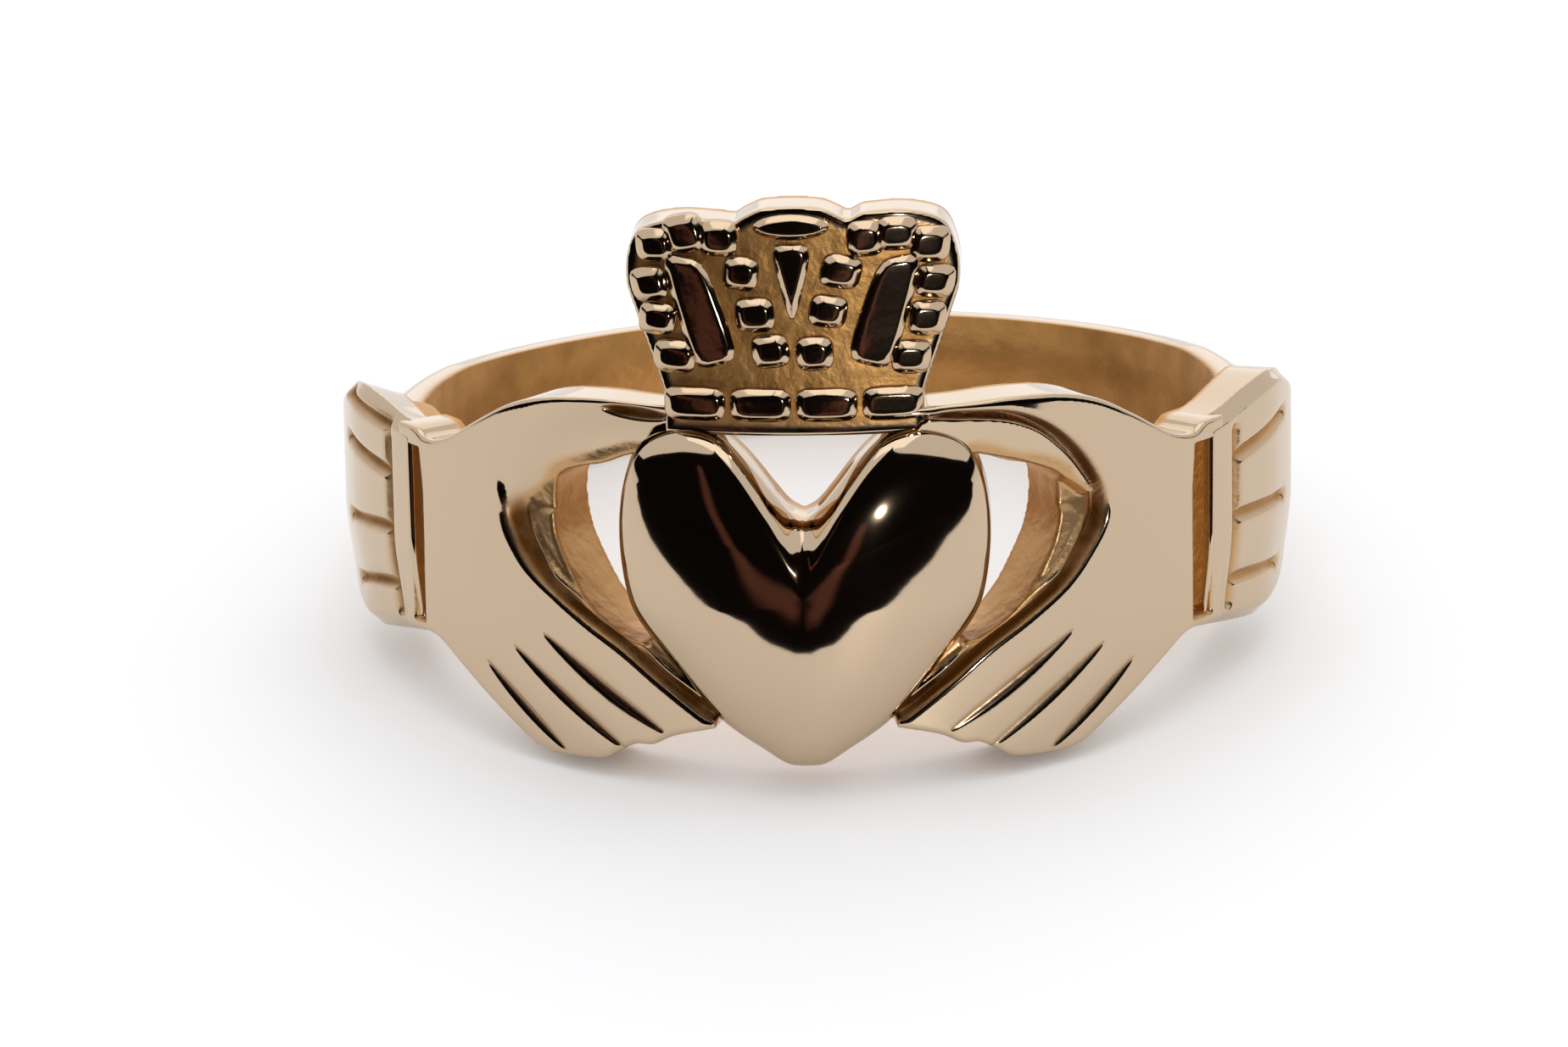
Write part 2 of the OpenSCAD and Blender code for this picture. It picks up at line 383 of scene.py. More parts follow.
class FinishNodes:
    """A new material, whose nodes are added one by one."""

    def __init__(self, name: str) -> None:
        """Starts the material with its shader.

        Args:
            name: The material's name.
        """
        self.material = bpy.data.materials.new(name)
        self.material.use_nodes = True
        self.nodes = self.material.node_tree.nodes
        self.shader = self.nodes["Principled BSDF"]

    def give(self, socket: Socket, value: Value) -> None:
        """Sets a socket to a number or a colour, or links another socket to it.

        Args:
            socket: The socket that takes the value.
            value: The number, the colour or the other socket.
        """
        if isinstance(value, Socket):
            self.material.node_tree.links.new(value, socket)
        else:
            socket.default_value = (*value, 1) if isinstance(value, tuple) else value

    def set(self, name: str, value: Value) -> None:
        """Gives the shader's socket of a name its value."""
        self.give(self.shader.inputs[name], value)

    def marked(self, name: str) -> Socket:
        """Reads a mark of the mesh.

        Args:
            name: The mark's name.

        Returns:
            Its value at each point.
        """
        node = self.nodes.new("ShaderNodeAttribute")
        node.attribute_name = name
        return node.outputs["Fac"]

    def noise(self, scale: float, detail: float) -> Socket:
        """Makes a noise in the piece's own coordinates.

        Args:
            scale: The noise's scale, to the metre.
            detail: How many finer noises are laid over it.

        Returns:
            The noise's value, about 0.5 in the middle.
        """
        place = self.nodes.new("ShaderNodeTexCoord")
        node = self.nodes.new("ShaderNodeTexNoise")
        self.give(node.inputs["Scale"], scale)
        self.give(node.inputs["Detail"], detail)
        self.give(node.inputs["Vector"], place.outputs["Object"])
        return node.outputs["Fac"]

    def work_out(self, operation: str, first: Value, second: Value) -> Socket:
        """Adds, subtracts or multiplies two values.

        Args:
            operation: ADD, SUBTRACT or MULTIPLY.
            first: The first value.
            second: The second value.

        Returns:
            The result.
        """
        node = self.nodes.new("ShaderNodeMath")
        node.operation = operation
        self.give(node.inputs[0], first)
        self.give(node.inputs[1], second)
        return node.outputs[0]

    def plus(self, first: Value, second: Value) -> Socket:
        """Adds two values."""
        return self.work_out("ADD", first, second)

    def minus(self, first: Value, second: Value) -> Socket:
        """Takes the second value from the first."""
        return self.work_out("SUBTRACT", first, second)

    def times(self, first: Value, second: Value) -> Socket:
        """Multiplies two values."""
        return self.work_out("MULTIPLY", first, second)

    def mix(self, share: Socket, first: Value, second: Value) -> Socket:
        """Mixes two colours.

        Args:
            share: The second colour's share.
            first: The first colour.
            second: The second colour.

        Returns:
            The mixed colour.
        """
        node = self.nodes.new("ShaderNodeMix")
        node.data_type = "RGBA"
        self.give(node.inputs["Factor"], share)
        self.give(node.inputs["A"], first)
        self.give(node.inputs["B"], second)
        return node.outputs["Result"]


@dataclass(frozen=True)
class Gold:
    """Pale yellow gold, polished where use has rubbed it, rough where it was cast, and brown in its
    creases, hollows and inside, where patina and painted shade darken it.

    Attributes:
        name: The material's name.
        polished: Colour of the polished faces.
        cast: Colour of the faces left as they were cast.
        tarnish_and_shade: Colour of the creases and hollows, where patina and painted shade darken the
            gold.
        roughness: Roughness of the polished faces.
        cast_roughness: Roughness of the cast faces.
        tarnish_and_shade_roughness: Roughness added where patina and painted shade lie.
        uneven: Change of roughness over the blotches.
        patch_contrast: How sharply the blotches break up the patina and painted shade.
        patch_cut: How much of the blotches stays clean.
        grain_depth: Depth of the cast grain in millimetres.
        grain_share: Share of that depth on polished faces.
        cast_share: Share of that depth that cast faces add.
        grain: Scale of the grain, to the metre.
        blotch: Scale of the blotches, to the metre.
    """

    name: str = "pale_gold"
    polished: Colour = (0.57, 0.435, 0.30)
    cast: Colour = (0.56, 0.30, 0.10)
    tarnish_and_shade: Colour = (0.19, 0.078, 0.015)
    roughness: float = 0.055
    cast_roughness: float = 0.5
    tarnish_and_shade_roughness: float = 0.45
    uneven: float = 0.05
    patch_contrast: float = 3.0
    patch_cut: float = 0.55
    grain_depth: float = 0.06
    grain_share: float = 0.012
    cast_share: float = 0.9
    grain: float = 2600.0
    blotch: float = 900.0

    def material(self) -> bpy.types.Material:
        """Makes the finish, or returns it if it is there.

        Returns:
            The material, which reads the marks "tarnish" (patina and painted shade) and "cast" of a mesh.
        """
        found = bpy.data.materials.get(self.name)
        if found:
            return found
        finish = FinishNodes(self.name)
        finish.set("Metallic", 1.0)
        # The mark "tarnish" carries patina and painted shade together: in creases, grooves, the slot, the
        # reliefs' feet and the band's inside.
        cast, tarnish_and_shade = finish.marked("cast"), finish.marked("tarnish_and_shade")
        blotches = finish.noise(self.blotch, detail=4)
        patches = finish.minus(finish.times(blotches, self.patch_contrast), self.patch_cut)
        colour = finish.mix(cast, self.polished, self.cast)
        finish.set("Base Color", finish.mix(finish.times(patches, tarnish_and_shade), colour, self.tarnish_and_shade))
        rough = finish.times(cast, self.cast_roughness - self.roughness)
        rough = finish.plus(rough, self.roughness)
        rough = finish.plus(rough, finish.times(finish.minus(blotches, 0.5), self.uneven))
        finish.set("Roughness", finish.plus(rough, finish.times(tarnish_and_shade, self.tarnish_and_shade_roughness)))

        bump = finish.nodes.new("ShaderNodeBump")
        strength = finish.plus(finish.times(cast, self.cast_share), self.grain_share)
        finish.give(bump.inputs["Distance"], self.grain_depth * MM)
        finish.give(bump.inputs["Strength"], strength)
        finish.give(bump.inputs["Height"], finish.noise(self.grain, detail=5))
        finish.set("Normal", bump.outputs["Normal"])
        return finish.material


GOLD = Gold()


def dress(piece: bpy.types.Object) -> None:
    """Gives a piece the ring's one finish."""
    piece.data.materials.clear()
    piece.data.materials.append(GOLD.material())


@dataclass
class Band:
    """The plain shank, which closes the ring behind the cuffs.

    The profile gives thicknesses for a wall of profile_wall, and heights as shares of the band's.
    The shoulder is how far the edges spread at shoulder_turn degrees from the back. The inside
    is darkened a little all over by the first value of worn, and by both towards its right, where
    the added darkening is painted shade. edge_shadow darkens the inside along its edges as a painted
    shadow line.
    """

    end: float = 12.6
    segments: int = 288
    rise: float = 0.018
    shoulder: float = 0.18
    shoulder_turn: float = 63.0
    shoulder_most: float = 1.05
    cast_at: Span = (0.27, 0.02)
    edge_shadow_at: Span = (0.8, 0.9)
    edge_shadow: float = 0.35
    inside_darkening: Span = (0.05, 0.2)
    inside_darkening_at: Span = (0.0, 7.0)
    inside_below: float = 0.05
    profile_wall: float = 1.4
    profile: Table = (
        (0.0, -0.5), (0.6, -0.5), (0.85, -0.46), (1.0, -0.42), (1.2, -0.30), (1.36, -0.15), (1.40, 0.0),
        (1.36, 0.15), (1.2, 0.30), (1.0, 0.42), (0.85, 0.46), (0.6, 0.5), (0.0, 0.5))

    def build(self) -> bpy.types.Object:
        """Spins the band's section round the back of the finger hole.

        Returns:
            The band.
        """
        curve = smooth_line(self.profile, steps=4)
        wall = curve[:, 0] * SIZES.band_wall / self.profile_wall
        section = np.column_stack([wall, curve[:, 1] * SIZES.band_h])
        bpy.ops.object.select_all(action="DESELECT")
        bpy.ops.mesh.primitive_circle_add(vertices=len(section), radius=1, fill_type="NGON")
        band = bpy.context.object
        band.name = "band"
        start = self.end / SIZES.mean_r
        r = SIZES.finger_r + section[:, 0]
        put_corners(band, np.column_stack([r * math.sin(start), -r * math.cos(start), section[:, 1]]))
        bpy.ops.object.mode_set(mode="EDIT")
        bpy.ops.mesh.select_all(action="SELECT")
        bpy.ops.mesh.spin(
            steps=self.segments, angle=2 * math.pi - 2 * start, center=(0, 0, 0), axis=(0, 0, -1),
            use_normal_flip=False)
        bpy.ops.mesh.select_all(action="SELECT")
        bpy.ops.mesh.remove_doubles(threshold=0.0001)
        bpy.ops.mesh.normals_make_consistent(inside=False)
        bpy.ops.object.mode_set(mode="OBJECT")
        co = corners(band)
        height = np.hypot(co[:, 0], co[:, 1]) - SIZES.finger_r
        from_back = np.degrees(np.abs(np.arctan2(co[:, 0], co[:, 1])))
        toward_cuff = np.clip(from_back / self.shoulder_turn, 0, self.shoulder_most)
        co[:, 2] *= 1 + self.shoulder * toward_cuff**3 / (SIZES.band_h / 2)
        edge_share = np.abs(co[:, 2]) / (np.abs(co[:, 2]).max() + 0.001)
        co[:, 2] += self.rise * co[:, 0]
        put_corners(band, co)
        mark(band, "cast", ramp(height, self.cast_at))
        # Painted shadow line along the inside's top and bottom edges.
        lip = self.edge_shadow * ramp(edge_share, self.edge_shadow_at)
        # A little darkening all over the inside, growing towards the right into painted shade.
        inside_darkening = self.inside_darkening[0] + self.inside_darkening[1] * ramp(co[:, 0], self.inside_darkening_at)
        mark(band, "tarnish_and_shade", np.where(height < self.inside_below, np.maximum(lip, inside_darkening), 0))
        dress(band)
        return settle(band)


@dataclass
class Cuff:
    """A cuff: a plain rim next to the hand, and a sleeve with scored lines that fan out.

    The edge tables give shares of the cuff's length and of half its height. The score tables
    give the heights, in the same shares, at which each line leaves the rim and ends. The sleeve
    swells behind the rim, tapers towards the foot and sinks at the band. Overfill gives back the
    thickness that the smoothing takes.
    """

    side: Side
    start: float = 9.68
    length: float = 5.05
    wall: float = 1.68
    height: float = 5.4
    rim: float = 1.0
    rim_line: Span = (-0.78, 0.63)
    bevel_w: float = 0.3
    bevel_d: float = 0.24
    end_w: float = 0.09
    end_d: float = 0.07
    score_w: float = 0.23
    score_d: float = 0.15
    score_len: float = 0.46
    score_bend: float = 0.42
    face: float = 0.045
    swell: float = 0.12
    swell_len: float = 0.4
    taper: float = 0.2
    taper_at: Span = (-0.3, -2.46)
    sink: float = 0.35
    sink_at: Span = (0.8, 1.0)
    lift: float = 0.09
    hollow: float = 0.62
    hollow_reach: float = 0.75
    left_tilt: float = 0.36
    overfill: float = 0.008
    upper_share: float = 0.6
    cast_at: Span = (0.15, 0.03)
    left_dark: float = 0.6
    right_dark: float = 0.2
    upper: Table = (
        (0, 0.80), (0.16, 0.84), (0.36, 0.91), (0.56, 0.94), (0.74, 0.88), (0.88, 0.74), (0.97, 0.5))
    lower: Table = (
        (0, -0.90), (0.16, -0.94), (0.36, -1.0), (0.56, -1.04), (0.76, -0.97), (0.89, -0.78), (0.98, -0.5))
    left_scores: Table = ((0.735, 0.83), (0.35, 0.47), (-0.10, -0.17), (-0.56, -0.70))
    right_scores: Table = ((0.42, 0.56), (-0.06, -0.12), (-0.58, -0.68))

    def score_lines(self) -> list[np.ndarray]:
        """Draws the line beside the rim and the fan of lines across the sleeve.

        Returns:
            The points of each line.
        """
        half = self.height / 2
        lines = [np.array([[self.rim, share * half] for share in self.rim_line])]
        scores = self.left_scores if self.side is Side.LEFT else self.right_scores
        for near, far in scores:
            middle = near + self.score_bend * (far - near)
            curve = smooth_line(((0, near), (0.5, middle), (1, far)), steps=5)
            lines.append(curve * (self.score_len * self.length, half) + (self.rim, 0))
        return lines

    def build(self) -> bpy.types.Object:
        """Cuts the cuff out flat, shapes its face and curls it round the ring.

        Returns:
            The cuff.
        """
        shares = (self.length, self.height / 2)
        upper, lower = (smooth_line(edge, steps=6) * shares for edge in (self.upper, self.lower))
        outline = np.vstack([lower, upper[::-1]])
        cuff = flat_plate(f"cuff_{self.side.name.lower()}", outline, 0, self.wall)
        even_mesh(cuff, self.face)
        co = corners(cuff)
        flat = co[:, :2]
        edge = np.minimum(nearness(flat, upper).distance, nearness(flat, lower).distance)
        drop = self.bevel_d * (1 - ease(edge / self.bevel_w))
        drop += self.end_d * round_over(flat[:, 0], self.end_w)
        drop += self.taper * ramp(flat[:, 1], self.taper_at)
        drop += self.sink * ramp(flat[:, 0] / self.length, self.sink_at) ** 1.5
        drop -= self.swell * ease((flat[:, 0] - self.rim) / (self.swell_len * self.length))
        scores = np.zeros(len(co))
        for line in self.score_lines():
            scores = np.maximum(scores, bell(nearness(flat, line).distance, LINE_SHARE * self.score_w))
        drop += self.score_d * scores
        upper_face = co[:, 2] > self.upper_share * self.wall
        near_top = 1 - ease(nearness(flat, upper).distance / self.hollow_reach)
        if self.side is Side.LEFT:
            co[:, 1] -= self.left_tilt * near_top * (1 - co[:, 2] / self.wall)
        low = self.hollow * near_top
        co[:, 2] = low + (co[:, 2] + self.overfill) * (1 - (drop + low) / self.wall)
        co[:, 1] += self.side.value * self.lift * ease(co[:, 0] / self.length)
        scores = np.where(upper_face, scores, 0)
        dark = self.left_dark if self.side is Side.LEFT else self.right_dark
        # Patina and painted shade in the scored lines, on the outer face, darker on the left cuff.
        mark(cuff, "tarnish_and_shade", dark * scores)
        mark(cuff, "cast", np.maximum(ramp(co[:, 2] - low, self.cast_at), scores))
        co[:, 0] += self.start
        put_corners(cuff, curl(co, self.side))
        dress(cuff)
        return settle(cuff, flipped=self.side is Side.LEFT)


@dataclass
class Hand:
    """A hand: wrist, palm, four fingers and a thumb round the open hole beside the heart.

    The tables give arc lengths as shares of the reach, and heights as shares of the rise above
    the middle plane (top tables) or of the drop below it (foot tables). The stops are shares of
    the way along the crease. Only the left hand has a soft thumb, a crease that widens upwards
    and ends blunt, and the notch beside the crown. Only the right hand has the thumb's leaf.
    """

    side: Side
    ledge: float = 1.2
    thumb: float = 1.6
    thumb_tilt: float = 0.2
    thumb_tilt_w: float = 1.2
    thumb_edge_at: Span = (-0.168, -0.028)
    top_tilt: float = 0.06
    top_tilt_from: float = 0.8
    step_w: float = 0.10
    left_step_w: float = 1.5
    left_step_at: Span = (0.35, 2.35)
    hollow: float = 0.5
    hollow_reach: float = 0.6
    hollow_at: Span = (0.8, 1.3)
    rib: float = 0.10
    rib_w: float = 0.07
    rib_away: float = 0.27
    rib_waves: Table = ((23, 0.4), (61, 0.3))
    foot_rise: float = 0.28
    foot_stops: Stops = (0.4, 0.7, 0.9, 1.0)
    foot_deeper: float = 0.4
    crease_w: float = 0.075
    crease_d: float = 0.15
    crease_rough: float = 0.7
    crease_stops: Stops = (0.0, 0.06, 0.92, 1.0)
    thinner: float = 0.55
    thin_stops: Stops = (0.12, 0.22, 0.4, 0.5)
    left_crease_w: float = 0.08
    left_crease_at: Span = (-0.9, -0.1)
    left_blunt_at: Span = (0.8, 1.4)
    notch_w: float = 0.10
    notch_deeper: float = 1.8
    groove_w: float = 0.135
    groove_d: float = 0.05
    groove_dark: float = 0.45
    dip_w: float = 0.26
    dip_d: float = 0.02
    slots: tuple[float, float, float] = (9.14, 9.36, 9.72)
    slot_ends: Span = (-2.05, 1.72)
    slot_d: float = 0.05
    slot_at: Span = (-0.04, 0.04)
    slot_shade: float = 0.08
    slot_rough_at: Span = (-0.07, -0.02)
    edge_w: float = 0.13
    edge_d: float = 0.1
    lip_w: float = 0.1
    lip_d: float = 0.06
    overfill: float = 0.016
    upper_share: float = 0.7
    cast_at: Span = (0.3, 0.1)
    rough_w: float = 0.15
    low_rough_w: float = 0.7
    low_rough_at: Span = (1.7, 0.9)
    rough_fade: float = 0.25
    step_rough_at: Span = (0.4, 0.36)
    ledge_rough: float = 0.7
    wall_rough: float = 0.85
    wall_rough_at: Span = (0.08, 0.03)
    face: float = 0.043
    top: Table = (
        (1.04, 0.62), (0.97, 0.62), (0.925, 0.57), (0.85, 0.62), (0.74, 0.79), (0.65, 0.92),
        (0.56, 0.99), (0.45, 1.01), (0.34, 1.00), (0.20, 0.98), (0.18, 0.90))
    foot: Table = (
        (0.19, 0.80), (0.28, 0.85), (0.33, 0.905), (0.37, 0.91), (0.41, 0.96),
        (0.45, 1.005), (0.55, 1.01), (0.61, 0.985), (0.67, 0.90), (0.75, 0.78), (0.84, 0.645),
        (0.92, 0.55), (1.04, 0.55))
    crease_top: Table = (
        (0.26, 0.94), (0.34, 0.93), (0.44, 0.90), (0.52, 0.81), (0.59, 0.65), (0.64, 0.47), (0.665, 0.32))
    crease_foot: Table = (
        (0.66, -0.14), (0.62, 0.00), (0.565, 0.14), (0.475, 0.285), (0.385, 0.415),
        (0.30, 0.57), (0.215, 0.72), (0.19, 0.76))
    thumb_leaf: Table = (
        (0.24, 0.70), (0.25, 0.885), (0.34, 0.885), (0.43, 0.85), (0.505, 0.765), (0.57, 0.61),
        (0.61, 0.47), (0.635, 0.36), (0.58, 0.47), (0.50, 0.59), (0.42, 0.655), (0.34, 0.69))
    notch: Table = ((0.285, 0.92), (0.43, 0.955))
    hole_top: Table = ((0.33, 0.60), (0.46, 0.58), (0.555, 0.50), (0.575, 0.36), (0.565, 0.15))
    hole_foot: Table = ((0.53, 0.03), (0.475, 0.21), (0.41, 0.34), (0.35, 0.385), (0.33, 0.30))
    grooves: Sequence[Table] = (
        ((0.585, 0.39), (0.30, 0.83)),
        ((0.665, 0.48), (0.385, 0.94)),
        ((0.745, 0.59), (0.53, 0.98)))

    @staticmethod
    def above(table: Table) -> np.ndarray:
        """Turns shares of the reach and the rise into millimetres."""
        return np.asarray(table) * (SIZES.hand_reach, SIZES.hand_up)

    @staticmethod
    def below(table: Table) -> np.ndarray:
        """Turns shares of the reach and the drop into millimetres."""
        return np.asarray(table) * (SIZES.hand_reach, -SIZES.hand_down)

    def outline(self) -> np.ndarray:
        """The hand's outline, anticlockwise seen from outside on the right hand."""
        edges = (self.below(self.foot), self.above(self.top))
        return np.vstack([smooth_line(edge, steps=5) for edge in edges])

    def hole(self) -> np.ndarray:
        """The outline of the open hole beside the heart."""
        points = np.vstack([self.above(self.hole_top), self.below(self.hole_foot)])
        return smooth_line(points, steps=5, closed=True)

    def crease(self) -> np.ndarray:
        """The crease over the thumb and along the forefinger."""
        points = np.vstack([self.above(self.crease_top), self.below(self.crease_foot)])
        return smooth_line(points, steps=5)

    def palm(self, flat: np.ndarray, crease: Nearness, foot: np.ndarray) -> np.ndarray:
        """Works out the ledge, the palm and the thumb, before anything is cut into them.

        Args:
            flat: Flat points, one row each.
            crease: How the points lie to the crease.
            foot: How much each point belongs to the crease's foot, from 0 to 1.

        Returns:
            The height of the face at each point.
        """
        z = flat[:, 1]
        palm_side = crease.side * crease.distance
        width = np.full(len(flat), self.step_w)
        if self.side is Side.LEFT:
            width += self.left_step_w * ramp(z, self.left_step_at)
        rise = ease((palm_side + width * 0.5) / width)
        tilt = self.top_tilt * np.clip(z - self.top_tilt_from, 0, None)
        height = self.ledge + (SIZES.hand_wall + tilt - self.ledge) * rise
        if self.side is Side.RIGHT:
            leaf = smooth_line(self.above(self.thumb_leaf), steps=4, closed=True)
            on_thumb = ramp(depth_within(flat, leaf), self.thumb_edge_at)
            fall = self.thumb_tilt * np.clip(crease.distance, 0, self.thumb_tilt_w)
            height = np.maximum(height, self.ledge + (self.thumb - self.ledge - fall) * on_thumb)
        wave = 1 + sum(swing * np.sin(turn * crease.along) for turn, swing in self.rib_waves)
        rib = self.rib * bell(palm_side + self.rib_away, self.rib_w) * wave
        return height + (rib + self.foot_rise * (1 - rise)) * foot

    def crease_cut(self, flat: np.ndarray, crease: Nearness, foot: np.ndarray) -> np.ndarray:
        """Works out how the crease and the left hand's notch are cut.

        Args:
            flat: Flat points, one row each.
            crease: How the points lie to the crease.
            foot: How much each point belongs to the crease's foot, from 0 to 1.

        Returns:
            The depth at each point, as a share of the crease's.
        """
        z = flat[:, 1]
        width = np.full(len(flat), self.crease_w)
        if self.side is Side.LEFT:
            width += self.left_crease_w * ramp(z, self.left_crease_at)
        deep = bell(crease.distance, width)
        deep *= 1 - self.thinner * between(crease.along, self.thin_stops) + self.foot_deeper * foot
        deep *= between(crease.along, self.crease_stops)
        if self.side is Side.RIGHT:
            return deep
        deep *= 1 - ramp(z, self.left_blunt_at)
        near = nearness(flat, self.above(self.notch))
        full = spindle(near.along)
        return np.maximum(deep, self.notch_deeper * full * bell(near.distance, self.notch_w * full))

    def within_slot(self, flat: np.ndarray) -> np.ndarray:
        """Measures how far points lie within the slot between the wrist and the cuff.

        Args:
            flat: Flat points, one row each.

        Returns:
            The distance from the slot's edge, positive within it.
        """
        right_start, left_start, end = self.slots
        start = left_start if self.side is Side.LEFT else right_start
        low, high = self.slot_ends
        x, z = flat.T
        return np.min([x - start, end - x, z - low, high - z], 0)

    def heights(self, flat: np.ndarray) -> tuple[np.ndarray, np.ndarray, np.ndarray]:
        """Works out the hand's outer face with all that is cut into it.

        Args:
            flat: Flat points, one row each.

        Returns:
            The height of the face, how dark it is with patina and painted shade, and how rough it is at
            each point.
        """
        crease = nearness(flat, self.crease())
        foot = between(crease.along, self.foot_stops)
        # How dark each point is, with patina and painted shade, follows the depth of the crease, the notch
        # and the grooves.
        dark = self.crease_cut(flat, crease, foot)
        height = self.palm(flat, crease, foot) - self.crease_d * dark
        for groove in self.grooves:
            near = nearness(flat, self.below(groove))
            full = spindle(near.along)
            cut = bell(near.distance, LINE_SHARE * self.groove_w * full)
            height -= (self.groove_d * cut + self.dip_d * bell(near.distance, self.dip_w)) * full
            dark = np.maximum(dark, self.groove_dark * cut)
        within = self.within_slot(flat)
        height += (self.ledge - self.slot_d - height) * ramp(within, self.slot_at)
        slot = ramp(within, self.slot_rough_at)
        rough = np.maximum(self.crease_rough * np.minimum(dark, 1), slot)
        # Painted shade on the slot's floor joins the darkness of the cuts.
        return height, np.maximum(dark, self.slot_shade * slot), rough

    def build(self) -> bpy.types.Object:
        """Cuts the hand out flat with its hole, shapes its face and curls it round the ring.

        Returns:
            The hand.
        """
        outline, hole = self.outline(), self.hole()
        thick = SIZES.hand_wall
        hand = flat_plate(f"hand_{self.side.name.lower()}", outline, 0, thick)
        cut_away(hand, flat_plate("hole_cutter", hole[::-1], -1, 2 * thick))
        even_mesh(hand, self.face)
        co = corners(hand)
        flat, z = co[:, :2], co[:, 1]
        height, dark, rough = self.heights(flat)
        edge, lip = depth_within(flat, outline), -depth_within(flat, hole)
        height -= self.edge_d * round_over(edge, self.edge_w) + self.lip_d * round_over(lip, self.lip_w)
        upper_face = co[:, 2] > self.upper_share * thick
        low = self.hollow * (1 - ease(edge / self.hollow_reach)) * ramp(z, self.hollow_at)
        co[:, 2] = low + (co[:, 2] + self.overfill) * (height - low) / thick
        # Patina and painted shade in the cuts, and painted shade on the slot's floor, on the outer face
        # only.
        mark(hand, "tarnish_and_shade", np.where(upper_face, dark, 0))
        reach = self.rough_w + self.low_rough_w * ramp(z, self.low_rough_at)
        near_hole = 1 - ease((lip - reach) / self.rough_fade)
        near_hole *= self.ledge_rough * ramp(height - self.ledge, self.step_rough_at)
        wall = self.wall_rough * ramp(lip, self.wall_rough_at)
        mark(hand, "cast", np.max([near_hole, wall, rough, ramp(co[:, 2] - low, self.cast_at)], 0))
        put_corners(hand, curl(co, self.side))
        dress(hand)
        return settle(hand, flipped=self.side is Side.LEFT)


@dataclass
class Heart:
    """The polished heart: straight sides, and a dome with a valley that runs down from its notch.

    The half outline gives shares of half the width and of the height, from the tip to the
    notch. Each ring is the rim drawn in towards a middle point, and the rings crowd at the rim.
    """

    width: float = 7.7
    height: float = 7.15
    drop: float = 4.15
    wall: float = 1.45
    dome: float = 1.0
    swell: float = 2.6
    shoulder: float = 0.62
    middle: float = 0.52
    back_shares: Sequence[float] = (0.15, 0.4, 0.7, 1)
    side_from: float = 0.5
    side_rings: int = 4
    dome_rings: int = 44
    crowding: float = 1.8
    cast_at: Span = (1.2, 0.6)
    half: Table = (
        (0, 0), (0.10, 0.006), (0.22, 0.046), (0.475, 0.142), (0.745, 0.312), (0.90, 0.418),
        (0.965, 0.50), (1.00, 0.64), (0.99, 0.77), (0.94, 0.88), (0.85, 0.955), (0.705, 0.995),
        (0.56, 1.00), (0.42, 0.975), (0.295, 0.915), (0.18, 0.837), (0.08, 0.772), (0, 0.745))

    def rim(self) -> np.ndarray:
        """The heart's outline from its tip, anticlockwise seen from the front."""
        half = smooth_line(self.half, steps=7) * (self.width / 2, self.height) - (0, self.drop)
        return np.vstack([half, half[-2:0:-1] * (-1, 1)])

    def build(self) -> bpy.types.Object:
        """Adds the outline as a loop and pulls it out ring by ring over the dome.

        Returns:
            The heart.
        """
        rim = self.rim()
        centre = np.array([0, self.middle * self.height - self.drop])
        heights = np.linspace(self.side_from, self.wall, self.side_rings)
        places = [drape(at_height(centre + (rim - centre) * share, 0)) for share in self.back_shares]
        places += [drape(at_height(rim, height)) for height in heights]
        for share in 1 - (np.arange(1, self.dome_rings) / self.dome_rings) ** self.crowding:
            place = drape(at_height(centre + (rim - centre) * share, self.wall))
            place[:, 1] -= self.dome * (1 - share**self.swell) ** self.shoulder
            places.append(place)
        heart = loft("heart", places)
        apply_modifier(heart, "SMOOTH", factor=0.5, iterations=6)
        co = corners(heart)
        height = np.hypot(co[:, 0], co[:, 1]) - SIZES.finger_r
        mark(heart, "cast", ramp(height, self.cast_at))
        mark(heart, "tarnish_and_shade", np.zeros(len(co)))
        dress(heart)
        return settle(heart)


def loft(name: str, rings: Sequence[np.ndarray]) -> bpy.types.Object:
    """Pulls a loop of edges out from ring to ring and closes both ends.

    Args:
        name: The new object's name.
        rings: The places of the loop's points at each ring, from back to front.

    Returns:
        A closed solid.
    """
    count = len(rings[0])
    bpy.ops.object.select_all(action="DESELECT")
    bpy.ops.mesh.primitive_circle_add(vertices=count, radius=1, fill_type="NOTHING")
    piece = bpy.context.object
    piece.name = name
    bpy.ops.object.mode_set(mode="EDIT")
    bpy.ops.mesh.select_all(action="SELECT")
    for _ in rings[1:]:
        bpy.ops.mesh.extrude_edges_move(TRANSFORM_OT_translate={"value": (0, 0, 1)})
    bpy.ops.mesh.edge_face_add()
    bpy.ops.mesh.poke()
    bpy.ops.object.mode_set(mode="OBJECT")
    co = corners(piece)
    co[: count * len(rings)] = np.vstack(rings)
    co[count * len(rings)] = rings[-1].mean(0)
    put_corners(piece, co)
    bpy.ops.object.mode_set(mode="EDIT")
    bpy.ops.mesh.select_all(action="DESELECT")
    bpy.ops.mesh.select_non_manifold()
    bpy.ops.mesh.edge_face_add()
    bpy.ops.mesh.select_all(action="SELECT")
    bpy.ops.mesh.normals_make_consistent(inside=False)
    bpy.ops.object.mode_set(mode="OBJECT")
    return piece


